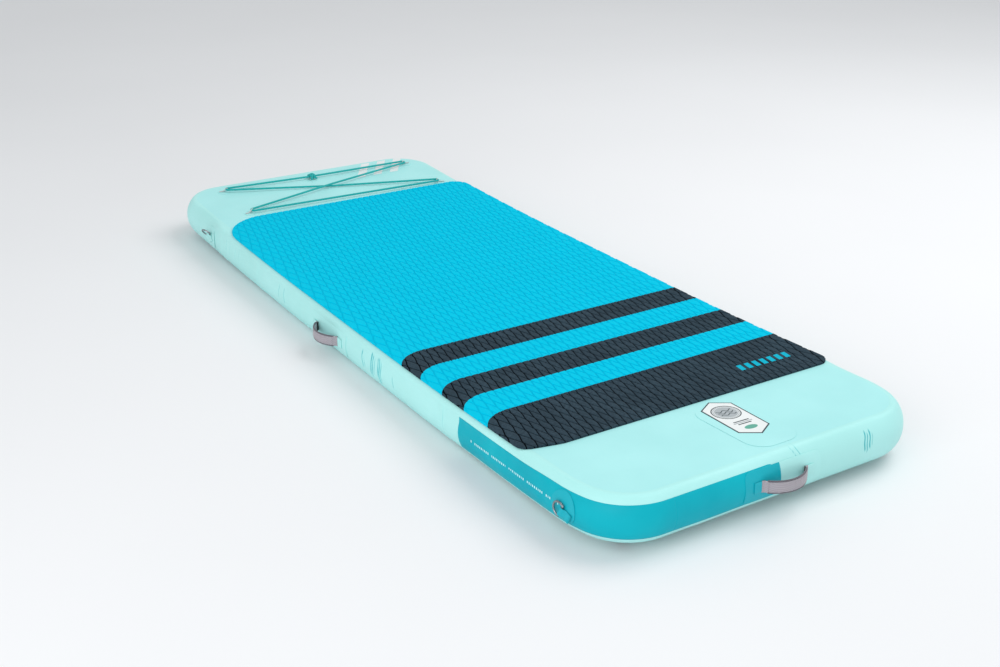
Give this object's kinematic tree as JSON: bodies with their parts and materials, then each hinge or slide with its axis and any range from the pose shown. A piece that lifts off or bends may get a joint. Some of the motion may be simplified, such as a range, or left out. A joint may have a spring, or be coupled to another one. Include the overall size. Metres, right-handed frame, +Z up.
{
  "type": "inflatable stand up paddleboard",
  "caption": "Rectangular inflatable board with rounded corners, a striped grooved foam deck pad, carry handles, towing rings and a crossed bungee on the deck.",
  "frame": {"origin": "on the floor, under the middle of the board", "axes": "+Y towards the end that has the bungee (the nose), +X to the right looking towards the nose, +Z up"},
  "size_m": [0.9256, 2.3498, 0.1375],
  "materials": {
    "pvc_mint": "satin",
    "pvc_teal": "satin",
    "pvc_plain": "satin",
    "pvc_white": "satin",
    "yarn": "matt",
    "foam_cyan": "grooved, matt",
    "foam_dark": "grooved, matt",
    "webbing_black": "woven",
    "webbing_white": "woven",
    "sleeve_grey": "neoprene, matt",
    "cord_teal": "braided",
    "steel": "polished",
    "valve_black": "moulded",
    "seal_rubber": "matt",
    "label_print": "printed"
  },
  "bodies": {
    "hull": {"bottom_skin": "pvc_mint", "bungee_anchor_loops": "webbing_white", "bungee_anchor_patches": "pvc_white", "bungee_cord": "cord_teal", "bungee_knot": "cord_teal", "deck_skin": "pvc_mint", "drop_stitch_yarns": "yarn", "handle_feet": "webbing_black", "handle_patches": "pvc_mint", "inner_side_wall": "pvc_plain", "label": "label_print", "label_backing": "pvc_mint", "pad_main": "foam_cyan", "pad_stripe_blue_front": "foam_cyan", "pad_stripe_blue_rear": "foam_cyan", "pad_stripe_dark_front": "foam_dark", "pad_stripe_dark_middle": "foam_dark", "pad_stripe_dark_rear": "foam_dark", "rail_band": "pvc_teal", "rail_tape": "pvc_mint", "ring_patches": "pvc_mint", "ring_tabs": "webbing_black", "underside_anchor_loops": "webbing_black", "valve_body": "valve_black", "valve_cap_tether": "valve_black", "valve_nut": "valve_black", "valve_spring": "steel"},
    "valve_poppet": {"valve_poppet": "valve_black", "valve_seal": "seal_rubber"},
    "valve_cap": {"valve_cap": "valve_black"},
    "left_handle": {"left_handle_strap": "webbing_black", "left_handle_sleeve": "sleeve_grey"},
    "right_handle": {"right_handle_strap": "webbing_black", "right_handle_sleeve": "sleeve_grey"},
    "tail_handle": {"tail_handle_strap": "webbing_black", "tail_handle_sleeve": "sleeve_grey"},
    "nose_handle": {"nose_handle_strap": "webbing_black", "nose_handle_sleeve": "sleeve_grey"},
    "rear_left_ring": {"rear_left_ring": "steel"},
    "rear_right_ring": {"rear_right_ring": "steel"},
    "front_left_ring": {"front_left_ring": "steel"},
    "front_right_ring": {"front_right_ring": "steel"}
  },
  "joints": [
    {"name": "left_handle_flex", "type": "hinge", "parent": "hull", "child": "left_handle", "pos_m": [-0.439, 0.032, 0.051], "axis": [0, -1, 0], "range_deg": [-35, 35], "stiffness_Nm_per_rad": 0.4},
    {"name": "right_handle_flex", "type": "hinge", "parent": "hull", "child": "right_handle", "pos_m": [0.439, 0.032, 0.051], "axis": [0, 1, 0], "range_deg": [-35, 35], "stiffness_Nm_per_rad": 0.4},
    {"name": "tail_handle_flex", "type": "hinge", "parent": "hull", "child": "tail_handle", "pos_m": [0, -1.15057, 0.07581], "axis": [1, 0, 0], "range_deg": [-35, 35], "stiffness_Nm_per_rad": 0.4},
    {"name": "nose_handle_flex", "type": "hinge", "parent": "hull", "child": "nose_handle", "pos_m": [0, 1.15055, 0.07634], "axis": [-1, 0, 0], "range_deg": [-35, 35], "stiffness_Nm_per_rad": 0.4},
    {"name": "rear_left_ring_swing", "type": "hinge", "parent": "hull", "child": "rear_left_ring", "pos_m": [-0.43261, -0.99359, 0.06294], "axis": [0.0536, -0.4588, 0.8869], "range_deg": [0, 150]},
    {"name": "rear_right_ring_swing", "type": "hinge", "parent": "hull", "child": "rear_right_ring", "pos_m": [0.43261, -0.99359, 0.06294], "axis": [0.0536, 0.4588, -0.8869], "range_deg": [0, 150]},
    {"name": "front_left_ring_swing", "type": "hinge", "parent": "hull", "child": "front_left_ring", "pos_m": [-0.4346, 0.83941, 0.07461], "axis": [0, -0.9071, 0.4208], "range_deg": [-45, 105]},
    {"name": "front_right_ring_swing", "type": "hinge", "parent": "hull", "child": "front_right_ring", "pos_m": [0.4346, 0.83941, 0.07461], "axis": [0, 0.9071, -0.4208], "range_deg": [-45, 105]},
    {"name": "valve_cap_turn", "type": "hinge", "parent": "hull", "child": "valve_cap", "pos_m": [0.25, 1.14056, 0.07587], "axis": [0, 0.9989, 0.0469], "range_deg": [0, 90]},
    {"name": "valve_poppet_push", "type": "slide", "parent": "hull", "child": "valve_poppet", "axis": [0, -0.9989, -0.0469], "range_m": [0, 0.004], "stiffness_N_per_m": 1500, "springref_m": -0.002, "deforming": ["valve_spring"]}
  ]
}
